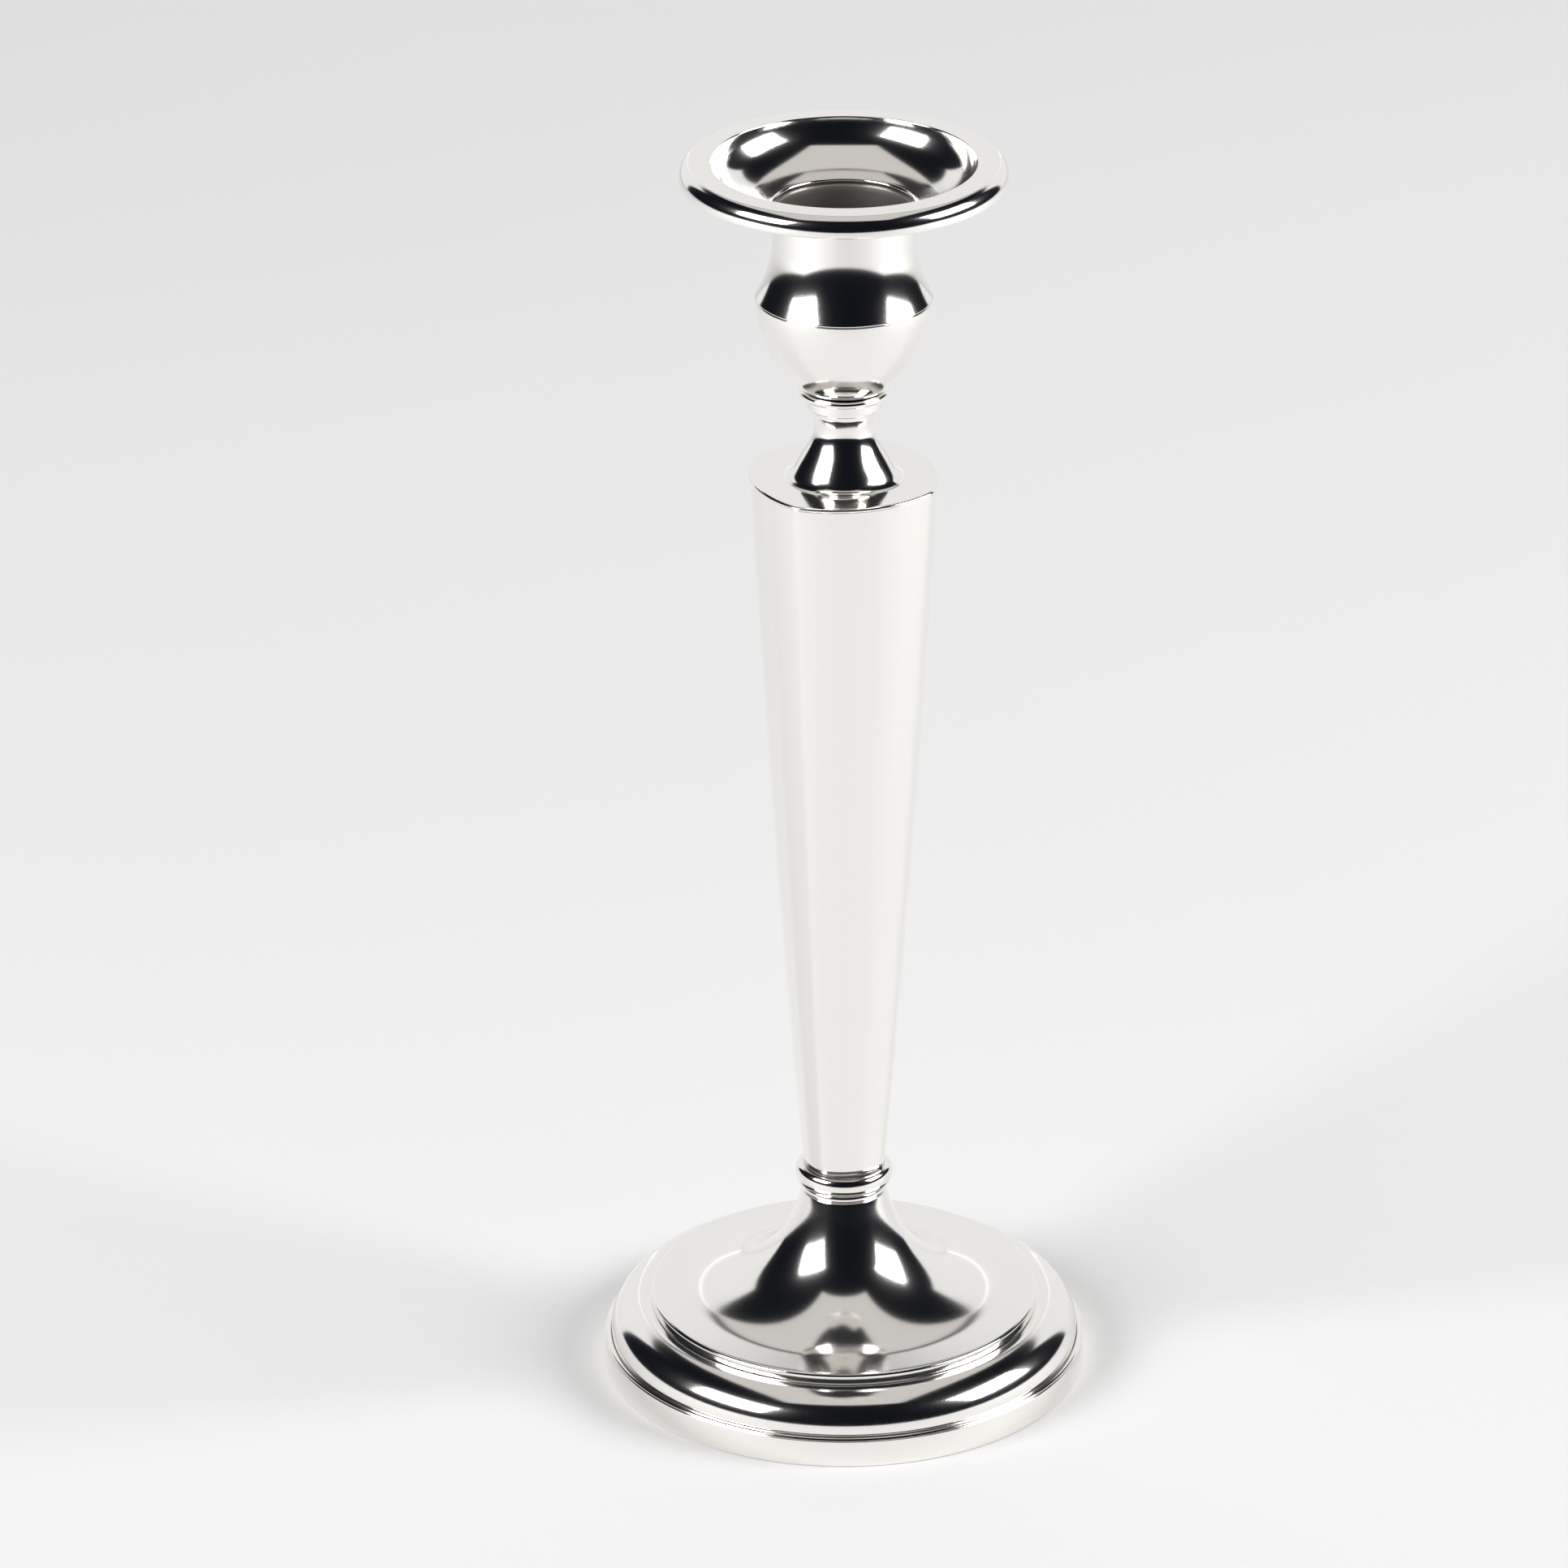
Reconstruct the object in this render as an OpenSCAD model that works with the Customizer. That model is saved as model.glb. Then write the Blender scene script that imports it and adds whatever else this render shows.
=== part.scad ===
// Loaded sheet-silver candlestick: round stepped foot, tapering column with four
// bowed faces, urn-shaped candle cup and a wide fixed drip pan. Millimetres, +Z
// up, the origin on the floor under the middle of the foot.

/* [Foot] */
// Outer radius of the plinth band that stands on the floor
plinth_r = 39.6; // [33:0.2:48]
// Height of the plinth band
plinth_h = 4.6; // [3.8:0.1:7]
// Thickness of the plinth band, and so the ledge round the moulding
plinth_t = 1.1; // [0.9:0.1:2]
// Radius of the small bead on top of the plinth band
plinth_bead_r = 0.45; // [0.3:0.05:0.5]
// Width of the quarter-round moulding above the plinth
ovolo_w = 5.6; // [4:0.2:8]
// Height of the quarter-round moulding
ovolo_h = 5.4; // [4:0.2:8]
// Width of the sunk groove between the moulding and the foot disc
groove_w = 1; // [0.6:0.1:2]
// Height of the foot disc's turned-down edge above the groove
disc_edge_h = 1.8; // [1.2:0.1:3]
// Height of the trumpet from the foot disc to the column's ring
trumpet_h = 18.2; // [14:0.2:26]
// Width of the nearly flat margin round the foot disc
disc_flat = 5.9; // [3:0.1:9]
// Fall of that margin towards the disc's edge
disc_fall = 0.25; // [0.1:0.05:0.5]
// Radius of the rounding at the edge of the foot disc
disc_edge_r = 0.5; // [0.3:0.05:0.8]
// How far the moulding's sunk ledge runs in under the disc
ledge_w = 2; // [1:0.2:4]
// How far the moulding runs down inside the plinth band
moulding_lap = 1; // [0.6:0.1:2]
// Radius of the trumpet's top, under the column's ring
stem_r = 6.8; // [5.6:0.1:9]

/* [Column] */
// Height of the column's sheet tube
column_h = 121; // [90:1:170]
// Half the width across two faces at the column's head
column_top = 14.6; // [12:0.1:17]
// Half the width across two faces at the column's foot
column_foot = 6.6; // [5.4:0.1:6.6]
// Corner radius as a share of the half width
column_corner = 0.035; // [0.03:0.005:0.2]
// Radius of each bowed face as a share of the half width
column_face = 1.3; // [1.2:0.05:3]
// Swelling of the column's outline at mid-height
entasis = 0.55; // [0.1:0.05:1]
// Height of the ring that the column stands on
ring_h = 4.6; // [3.6:0.1:7]
// How far the ring's bead stands out past the trumpet's top
ring_out = 1.2; // [0.8:0.1:2]
// How far the bead curves in from its outer edge to the ring's flat top
ring_nose = 0.85; // [0.3:0.05:1]
// Height of the ring's bead
ring_bead_h = 3.2; // [2.4:0.1:4.2]

/* [Shoulder and collar] */
// Height of the shoulder cap from the column to the collar
shoulder_h = 12.4; // [10:0.2:18]
// Thickness of the shoulder cap's metal, which is the plate's visible edge
shoulder_t = 0.7; // [0.5:0.05:1.2]
// How far the shoulder plate stands out past the column
plate_overhang = 0.3; // [0.2:0.05:1]
// Radius of the waist above the shoulder plate
waist_r = 4.75; // [3.9:0.05:6]
// Height of the waist above the underside of the shoulder cap
waist_z = 8.8; // [7.4:0.1:9.6]
// Radius of the shoulder cap's top, under the collar
spool_top_r = 5.3; // [4.9:0.1:6.5]
// Outer radius of the collar's band
collar_r = 5.95; // [5.4:0.05:7]
// Height of the collar's band
collar_h = 2; // [1.4:0.1:4]
// Outer radius of the thin flange on top of the collar
flange_r = 7.1; // [6.2:0.1:10]
// Thickness of the flange
flange_t = 1; // [0.7:0.1:2]

/* [Candle cup and drip pan] */
// Radius of the hole that the candle stands in
bore_r = 10.6; // [9.5:0.1:12.8]
// Depth of the candle hole from the liner's mouth to its floor
bore_depth = 22; // [17:0.5:22]
// How far the liner's mouth lies below the lip
liner_drop = 1; // [0.6:0.1:2]
// Thickness of the socket liner's wall
liner_t = 0.33; // [0.25:0.01:0.6]
// Thickness of the silver sheet
sheet_t = 0.35; // [0.25:0.01:0.5]
// How far the cup's seam stands out past the neck
cup_out = 2.7; // [2:0.1:5]
// Height of the cup's lower bowl
bowl_h = 15.3; // [13:0.1:20]
// Radius where the lower bowl stands on the flange
bowl_foot_r = 6; // [5:0.1:6.2]
// Height of the flare between the seam and the straight neck
flare_h = 9.7; // [8:0.1:13]
// Height of the straight neck
neck_h = 6.05; // [4:0.05:9]
// Outer radius of the drip pan
pan_r = 25.8; // [22.5:0.1:33]
// Radius of the crease between the pan's bowl and its rim
pan_crease_r = 20.9; // [17:0.1:21.5]
// Depth of the drip pan's bowl
pan_depth = 6.8; // [5.5:0.1:9]
// Height of the rim from its crease to its rolled edge
rim_h = 3.4; // [3.2:0.1:5]
// Radius of the rim's rolled edge
rim_edge_r = 0.5; // [0.4:0.05:0.6]
// Radius of the rounded lip at the candle hole
lip_r = 0.45; // [0.3:0.05:0.6]

/* [Core and loading] */
// Radius of the steel core rod
rod_r = 2; // [1.5:0.1:2.6]
// Width across the flats of the rod's two nuts
nut_af = 7; // [6:0.5:8]
// Height of each nut
nut_h = 2.4; // [1.8:0.1:3]
// Outer radius of each washer
washer_r = 4.5; // [4.1:0.1:5]
// Thickness of each washer
washer_t = 0.8; // [0.5:0.1:1.2]
// Thickness of the steel closing plate in the foot
plate_t = 1; // [0.6:0.1:1.6]
// Thickness of the backing card
card_t = 0.9; // [0.5:0.1:1.5]
// Thickness of the felt under the foot
felt_t = 1; // [0.6:0.1:1.6]
// How far the rod runs on past its upper nut
rod_end = 0.6; // [0.3:0.1:1]
// Gap between the moulding and the plate, card and felt inside it
disc_fit = 0.3; // [0.1:0.05:0.6]
// Gap left round the loading and the inner parts
gap = 0.05; // [0.02:0.01:0.15]
// Gap between the liner and the neck it is pressed into
liner_fit = 0.02; // [0.01:0.01:0.05]

/* [Hidden] */
$fn = 96;

silver = [0.93, 0.92, 0.9];
steel = [0.55, 0.56, 0.58];
plaster = [0.82, 0.78, 0.7];

// Radii that follow from the sizes above
ovolo_out_r = plinth_r - plinth_t;
ovolo_in_r = ovolo_out_r - ovolo_w;
disc_r = ovolo_in_r - groove_w;
ledge_r = disc_r - ledge_w;
fill_r = ovolo_out_r - sheet_t - disc_fit;
ring_r = stem_r + ring_out;
liner_r = bore_r + liner_t;
neck_in_r = liner_r + liner_fit;
neck_r = neck_in_r + sheet_t;
cup_r = neck_r + cup_out;
rod_hole_r = rod_r + gap;
nut_r = nut_af / 2 / cos(30);

// Heights, stacked from the floor up
moulding_foot_z = plinth_h - moulding_lap;
ovolo_foot_z = plinth_h + plinth_bead_r * 2;
groove_z = ovolo_foot_z + ovolo_h;
disc_z = groove_z + disc_edge_h;
ring_z = disc_z + trumpet_h;
column_z = ring_z + ring_h;
shoulder_z = column_z + column_h;
collar_z = shoulder_z + shoulder_h;
flange_z = collar_z + collar_h;
bowl_z = flange_z + flange_t;
seam_z = bowl_z + bowl_h;
neck_z = seam_z + flare_h;
lip_z = neck_z + neck_h;
crease_z = lip_z + pan_depth;
liner_top_z = lip_z - liner_drop;
liner_floor_z = liner_top_z - bore_depth;
lower_nut_z = felt_t + card_t + gap;
lower_washer_z = lower_nut_z + nut_h;
closing_z = lower_washer_z + washer_t;
upper_washer_z = bowl_z + sheet_t;
upper_nut_z = upper_washer_z + washer_t;
rod_top_z = upper_nut_z + nut_h + rod_end;

// Outline helpers. A path runs along a piece's outside with its metal on the
// right-hand side.
function bezier(a, b, c, d, n = 12) =
    [for (i = [0:n]) let (t = i / n, u = 1 - t)
        u * u * u * a + 3 * u * u * t * b + 3 * u * t * t * c + t * t * t * d];
function ellipse(centre, rx, rz, a0, a1, n = 8) =
    [for (i = [0:n]) let (a = a0 + (a1 - a0) * i / n)
        [centre[0] + rx * cos(a), centre[1] + rz * sin(a)]];
function right_of(path, i) =
    let (d = path[min(i + 1, len(path) - 1)] - path[max(i - 1, 0)])
        [d[1], -d[0]] / norm(d);
function beside(path, gap_w) =
    [for (i = [0:len(path) - 1]) path[i] + gap_w * right_of(path, i)];
function reversed(path) = [for (i = [len(path) - 1:-1:0]) path[i]];
function quarter_turns(p, k) =
    [p[0] * cos(90 * k) - p[1] * sin(90 * k), p[0] * sin(90 * k) + p[1] * cos(90 * k)];

// Square whose sides are arcs of radius face_r, with round corners
function bowed_square(half_w, corner, face_r, n = 8) =
    let (face_x = half_w - face_r,
         corner_x = (face_x + sqrt(2 * pow(face_r - corner, 2) - face_x * face_x)) / 2,
         turn = atan2(corner_x, corner_x - face_x),
         side = ellipse([face_x, 0], face_r, face_r, -turn, turn, 2 * n),
         bend = ellipse([corner_x, corner_x], corner, corner, turn, 90 - turn, 4))
    [for (k = [0:3]) for (p = concat(side, [for (i = [1:3]) bend[i]])) quarter_turns(p, k)];

// The column's section at half width w, grown or pulled in by a margin
function section(w, margin) =
    bowed_square(w + margin, max(w * column_corner + margin, 0.1), w * column_face + margin);

// The main outlines
trumpet_bend = [stem_r + 4.1, disc_z + trumpet_h * 0.478];
disc_start = [disc_r - disc_flat, disc_z + disc_fall];
trumpet_path = concat(bezier([stem_r, ring_z],
                             [stem_r + 0.9, ring_z - trumpet_h * 0.137],
                             [stem_r + 1.6, ring_z - trumpet_h * 0.324],
                             trumpet_bend, 8),
                      bezier(trumpet_bend,
                             trumpet_bend + [1.4, -trumpet_h * 0.11],
                             [disc_start[0] * 0.673, disc_start[1] + 0.65],
                             disc_start, 12));
foot_path = concat([[stem_r, ring_z], [stem_r, ring_z - 0.1]],
                   [for (i = [1:len(trumpet_path) - 1]) if (i != 8) trumpet_path[i]],
                   ellipse([disc_r - disc_edge_r, disc_z - disc_edge_r],
                           disc_edge_r, disc_edge_r, 90, 0, 4),
                   [[disc_r, groove_z]]);
moulding_path = concat([[ledge_r, groove_z]],
                       ellipse([ovolo_in_r, ovolo_foot_z], ovolo_w, ovolo_h, 90, 0, 12),
                       [[ovolo_out_r, moulding_foot_z]]);
bowl_path = concat([[cup_r - 0.05, seam_z], [cup_r - 0.05, seam_z - 0.15]],
                   bezier([cup_r - 0.05, seam_z - 0.3],
                          [cup_r, seam_z - bowl_h * 0.32],
                          [cup_r * 0.79, bowl_z + bowl_h * 0.14],
                          [bowl_foot_r, bowl_z], 16),
                   [[rod_hole_r, bowl_z]]);
flare_path = concat([[cup_r, seam_z], [cup_r, seam_z + 0.1]],
                    bezier([cup_r - 0.02, seam_z + 0.15],
                           [cup_r - flare_h * 0.12, seam_z + flare_h * 0.22],
                           [neck_r, seam_z + flare_h * 0.56],
                           [neck_r, neck_z], 14));
rim_top = [pan_r - 1.8, crease_z - 0.1];
pan_path = concat(beside(flare_path, -sheet_t),
                  ellipse([neck_in_r + lip_r, lip_z - lip_r], lip_r, lip_r, 180, 90, 5),
                  bezier([neck_in_r + 2 * lip_r, lip_z],
                         [neck_in_r + 6, lip_z],
                         [pan_crease_r - 0.5, crease_z - pan_depth * 0.6],
                         [pan_crease_r, crease_z], 12),
                  ellipse([rim_top[0], rim_top[1] - 2.2], pan_r - rim_top[0], 2.2, 90, 0, 8),
                  ellipse([pan_r - rim_edge_r, crease_z - rim_h + rim_edge_r],
                          rim_edge_r, rim_edge_r, 0, -80, 4));
waist = [waist_r, shoulder_z + waist_z];
knee = [waist_r + 2.2, shoulder_z + 3.8];
plate_z = shoulder_z + shoulder_t;
spool_path = concat([[spool_top_r, collar_z], [spool_top_r, collar_z - 0.2]],
                    bezier([spool_top_r - 0.1, collar_z - 0.8],
                           waist + [0, 1.4], waist + [0, 0.6], waist, 5),
                    bezier(waist + [0, -0.2], waist + [0.05, -1.7],
                           knee + [-1.05, 1.7], knee, 8),
                    bezier(knee + [0.1, -0.16], knee + [1.05, -1.7],
                           [knee[0] + 1.35, plate_z], [knee[0] + 3.05, plate_z], 8),
                    [[column_top + 6, plate_z]]);

// A spun sheet: the path and a second skin one thickness to its right
module spun_sheet(path, thickness)
    rotate_extrude() polygon(concat(path, reversed(beside(path, thickness))));

module ring_plate(outer, inner, z, thickness)
    translate([0, 0, z]) difference() {
        cylinder(r = outer, h = thickness);
        translate([0, 0, -1]) cylinder(r = inner, h = thickness + 2);
    }

module hex_nut(z)
    translate([0, 0, z]) difference() {
        cylinder(r = nut_r, h = nut_h, $fn = 6);
        translate([0, 0, -1]) cylinder(r = rod_r, h = nut_h + 2);
    }

module rod_hole() translate([0, 0, -1]) cylinder(r = rod_hole_r, h = crease_z);

// Half width of the column a share t of the way up, with its swelling
function column_half(t) = column_foot + (column_top - column_foot) * t + 4 * entasis * t * (1 - t);

// The column's solid outline, pulled in by inset
module column_body(inset)
    hull() for (t = [0:0.125:1])
        translate([0, 0, column_z + t * (column_h - 0.01)])
            linear_extrude(0.01) polygon(section(column_half(t), -inset));

// One spun shell: the rolled rim, the pan's bowl, the lip, neck and flare
module drip_pan_and_neck() color(silver) spun_sheet(pan_path, sheet_t);

// Tinned cup that the candle stands in, pressed into the neck
module socket_liner() color([0.5, 0.48, 0.45]) difference() {
    translate([0, 0, liner_floor_z - liner_t]) cylinder(r = liner_r, h = bore_depth + liner_t);
    translate([0, 0, liner_floor_z]) cylinder(r = bore_r, h = bore_depth + 1);
}

// Lower half of the urn, soldered to the flare at the seam
module cup_bowl() color(silver) spun_sheet(bowl_path, sheet_t);

// Turned collar with a thin flange on which the cup stands
module cup_collar() color(silver) difference() {
    rotate_extrude() polygon(concat(
        [[0, collar_z], [collar_r, collar_z], [collar_r, flange_z]],
        [[flange_r - 0.25, flange_z]],
        ellipse([flange_r - 0.25, flange_z + 0.25], 0.25, 0.25, -60, 0, 3),
        ellipse([flange_r - 0.5, bowl_z - 0.45], 0.5, 0.45, 0, 90, 4),
        [[0, bowl_z]]));
    rod_hole();
}

// Waisted spool that spreads into the square plate over the column
module shoulder_cap() color(silver) intersection() {
    spun_sheet(spool_path, shoulder_t);
    translate([0, 0, shoulder_z - 1]) linear_extrude(shoulder_h + 2)
        polygon(section(column_top, plate_overhang));
}

// Tapering tube folded from sheet, with four bowed faces
module column_shell() color(silver) difference() {
    column_body(0);
    translate([0, 0, column_z - 1]) cylinder(r = rod_hole_r, h = 2);
    column_hollow();
}

// The hollow of the column, run out past both ends
module column_hollow() {
    column_body(sheet_t);
    for (t = [0, 1])
        translate([0, 0, column_z + t * column_h - 0.5])
            linear_extrude(1) polygon(section(column_half(t), -sheet_t));
}

// Beaded ring with a small step under it, which the column stands on
module column_ring() color(silver) difference() {
    rotate_extrude() polygon(concat(
        [[0, ring_z], [stem_r, ring_z]],
        ellipse([stem_r - 0.1, ring_z + (ring_h - ring_bead_h) / 2],
                0.45, (ring_h - ring_bead_h) / 2, -70, 70, 5),
        ellipse([ring_r - ring_nose, column_z - ring_bead_h / 2],
                ring_nose, ring_bead_h / 2, -75, 90, 10),
        [[0, column_z]]));
    rod_hole();
}

// Trumpet and disc, spun from one sheet with the disc's edge turned down
module foot_shell() color(silver) spun_sheet(foot_path, sheet_t);

// Quarter-round moulding that carries the disc on its sunk ledge
module foot_moulding() color(silver) spun_sheet(moulding_path, sheet_t);

// Applied band with a bead along its top edge
module plinth_band() color(silver) rotate_extrude() {
    translate([ovolo_out_r, 0]) square([plinth_t, plinth_h]);
    translate([ovolo_out_r + plinth_bead_r, plinth_h]) circle(r = plinth_bead_r, $fn = 32);
}

// Cement round the liner, inside the cup
module cup_loading() color(plaster) difference() {
    rotate_extrude() polygon(concat(
        [[0, bowl_z + sheet_t + gap]],
        reversed(beside([for (i = [0:len(bowl_path) - 2]) bowl_path[i]], sheet_t + gap)),
        [for (p = beside(flare_path, -sheet_t - gap)) if (p[0] > neck_in_r + 0.25) p],
        [[0, neck_z - flare_h * 0.45]]));
    translate([0, 0, liner_floor_z - liner_t - gap]) cylinder(r = liner_r + gap, h = bore_depth);
    translate([0, 0, bowl_z]) cylinder(r = washer_r + gap, h = sheet_t + washer_t + gap);
    translate([0, 0, upper_nut_z]) cylinder(r = nut_r + gap, h = nut_h + gap);
    translate([0, 0, bowl_z]) cylinder(r = rod_hole_r, h = rod_top_z + gap - bowl_z);
}

// Cement that fills the column and the spool above it
module column_loading() color(plaster) difference() {
    union() {
        column_body(sheet_t + gap);
        rotate_extrude() polygon(concat(
            [[0, shoulder_z - 1]],
            [[column_top * 0.8, shoulder_z - 1], [column_top * 0.8, shoulder_z - gap]],
            reversed([for (p = beside(spool_path, shoulder_t + gap))
                if (p[0] < column_top * 0.8 && p[1] < collar_z - gap) p]),
            [[0, collar_z - 1]]));
    }
    rod_hole();
}

// Plaster that weights the foot, from the closing plate up into the trumpet
module foot_loading() color(plaster) difference() {
    rotate_extrude() polygon(concat(
        [[0, closing_z + plate_t], [ovolo_out_r - sheet_t - gap, closing_z + plate_t]],
        reversed(beside([for (p = moulding_path) if (p[1] > closing_z + plate_t) p],
                        sheet_t + gap)),
        [[ledge_r - gap, groove_z - sheet_t - gap], [ledge_r - gap, disc_z - sheet_t - gap]],
        reversed([for (p = beside(foot_path, sheet_t + gap))
            if (p[1] < ring_z - gap && p[0] < ledge_r - 0.2) p]),
        [[stem_r - sheet_t - gap, ring_z - gap], [0, ring_z - gap]]));
    rod_hole();
}

// Threaded steel rod that ties the foot, column and cup together
module core_rod() color(steel)
    translate([0, 0, lower_nut_z]) cylinder(r = rod_r, h = rod_top_z - lower_nut_z);

module upper_nut() color(steel) hex_nut(upper_nut_z);
module upper_washer() color(steel) ring_plate(washer_r, rod_hole_r, upper_washer_z, washer_t);
module lower_nut() color(steel) hex_nut(lower_nut_z);
module lower_washer() color(steel) ring_plate(washer_r, rod_hole_r, lower_washer_z, washer_t);

// Steel disc that closes the foot under its plaster
module closing_plate() color(steel)
    ring_plate(fill_r, rod_hole_r, closing_z, plate_t);

// Card disc that backs the felt
module backing_card() color([0.62, 0.5, 0.36])
    translate([0, 0, felt_t]) cylinder(r = fill_r, h = card_t);

// Felt that the candlestick stands on
module felt_pad() color([0.1, 0.32, 0.2])
    cylinder(r = fill_r, h = felt_t);

drip_pan_and_neck();
socket_liner();
cup_bowl();
cup_collar();
shoulder_cap();
column_shell();
column_ring();
foot_shell();
foot_moulding();
plinth_band();
cup_loading();
column_loading();
foot_loading();
core_rod();
upper_nut();
upper_washer();
lower_nut();
lower_washer();
closing_plate();
backing_card();
felt_pad();
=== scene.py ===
"""Looks of a loaded silver candlestick: its sheet pieces, their finishes and a plain studio."""
import math

import bmesh
import bpy
from mathutils import Matrix, Quaternion, Vector, noise


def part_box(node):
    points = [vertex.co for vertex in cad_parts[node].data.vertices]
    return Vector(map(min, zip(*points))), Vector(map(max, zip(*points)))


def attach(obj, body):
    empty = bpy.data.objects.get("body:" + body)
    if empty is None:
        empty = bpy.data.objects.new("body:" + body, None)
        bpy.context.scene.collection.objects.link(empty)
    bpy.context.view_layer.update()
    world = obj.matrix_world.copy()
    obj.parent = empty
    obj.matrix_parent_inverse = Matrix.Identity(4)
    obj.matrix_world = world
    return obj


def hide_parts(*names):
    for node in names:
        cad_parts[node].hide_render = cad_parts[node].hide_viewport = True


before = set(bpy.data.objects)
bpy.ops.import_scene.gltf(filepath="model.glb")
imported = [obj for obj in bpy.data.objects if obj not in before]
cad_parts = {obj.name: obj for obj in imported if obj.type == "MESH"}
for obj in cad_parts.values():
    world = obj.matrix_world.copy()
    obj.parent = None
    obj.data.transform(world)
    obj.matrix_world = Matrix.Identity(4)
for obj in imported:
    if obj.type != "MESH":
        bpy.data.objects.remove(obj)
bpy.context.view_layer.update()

bl_info = {
    "name": "Loaded Candlestick",
    "version": (1, 0, 0),
    "blender": (4, 5, 0),
    "location": "View3D > Sidebar > Candlestick",
    "description": "Spun and folded silver pieces, their finishes and a plain studio",
    "category": "Object",
}

MM = 0.001
SPIN_STEPS = 256      # Facets round a spun piece
WELD_GAP = 1e-7       # Mesh points closer than this, in metres, become one
SAME_POINT = 1e-6     # Outline points closer than this, in metres, are one point
AXIS_GAP = 0.2 * MM   # Radius left open on the axis of a turned disc
SENSOR_WIDTH = 36     # Of the camera, in millimetres

# Lowest and highest corner of each piece's place in the frame
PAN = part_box("drip_pan_and_neck")
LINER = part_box("socket_liner")
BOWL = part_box("cup_bowl")
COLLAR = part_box("cup_collar")
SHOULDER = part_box("shoulder_cap")
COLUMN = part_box("column_shell")
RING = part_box("column_ring")
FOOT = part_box("foot_shell")
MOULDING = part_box("foot_moulding")
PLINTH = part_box("plinth_band")
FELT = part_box("felt_pad")
LOW, HIGH = 0, 1

# Small knocks in the column: direction in degrees, then drop below its top, radius and depth
# in millimetres
KNOCKS = (
    (-46.7, 1.3, 1.1, 0.07), (-32.2, 1.2, 1.2, 0.08), (-24.6, 1.0, 0.9, 0.06),
    (-4.2, 1.4, 1.1, 0.07), (14.9, 1.0, 1.0, 0.06), (-16.0, 9.0, 0.8, 0.07),
)
# Hair scratches in the silver: length and width in millimetres, turn, and rarity
HAIR = (
    (5, 0.07, (0.3, 0.5, 0.2), 0.74),
    (4, 0.06, (0.9, -0.4, 1.3), 0.75),
    (7, 0.08, (-0.5, 0.2, 2.3), 0.76),
)

# Studio, in metres: a place is a distance from the object's axis and a height
KEYS = (("key_left", -59.5), ("key_right", 83))  # Degrees round from the camera's side
KEY_PLACE, KEY_SIZE, KEY_AIM = (1.25, 0.8), (0.88, 0.65), Vector((0, 0, 0.12))
PANEL_PLACE, PANEL_SIZE, PANEL_TINT = (0.59, 1.22), (0.85, 1.96), (1, 0.97, 0.94)
SWEEP = (  # Degrees round from the far side, place and size
    ("white_sweep", 0, (1.6, 0.55), (0.76, 1.1)),
    ("sweep_left", -29.5, (1.75, 0.66), (1.05, 1.32)),
    ("sweep_right", 29.5, (1.75, 0.66), (1.05, 1.32)),
)
FLOOR_SIDE, FLOOR_FRONT, FLOOR_BACK, APRON = 1.36, -0.66, 1.6, 7
BACKDROP = (0.84, 0.84, 0.84)


# ---------------------------------------------------------------- properties

def length(name, description, millimetres):
    return bpy.props.FloatProperty(
        name=name, description=description, default=millimetres * MM, unit="LENGTH", precision=5)


def tint(name, description, colour):
    return bpy.props.FloatVectorProperty(
        name=name, description=description, default=colour, size=3, subtype="COLOR", min=0, max=1)


def factor(name, description, value):
    return bpy.props.FloatProperty(
        name=name, description=description, default=value, subtype="FACTOR", min=0, max=1)


def angle(name, description, degrees):
    return bpy.props.FloatProperty(
        name=name, description=description, default=math.radians(degrees), subtype="ANGLE")


def amount(name, description, value):
    return bpy.props.FloatProperty(name=name, description=description, default=value, min=0)


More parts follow.
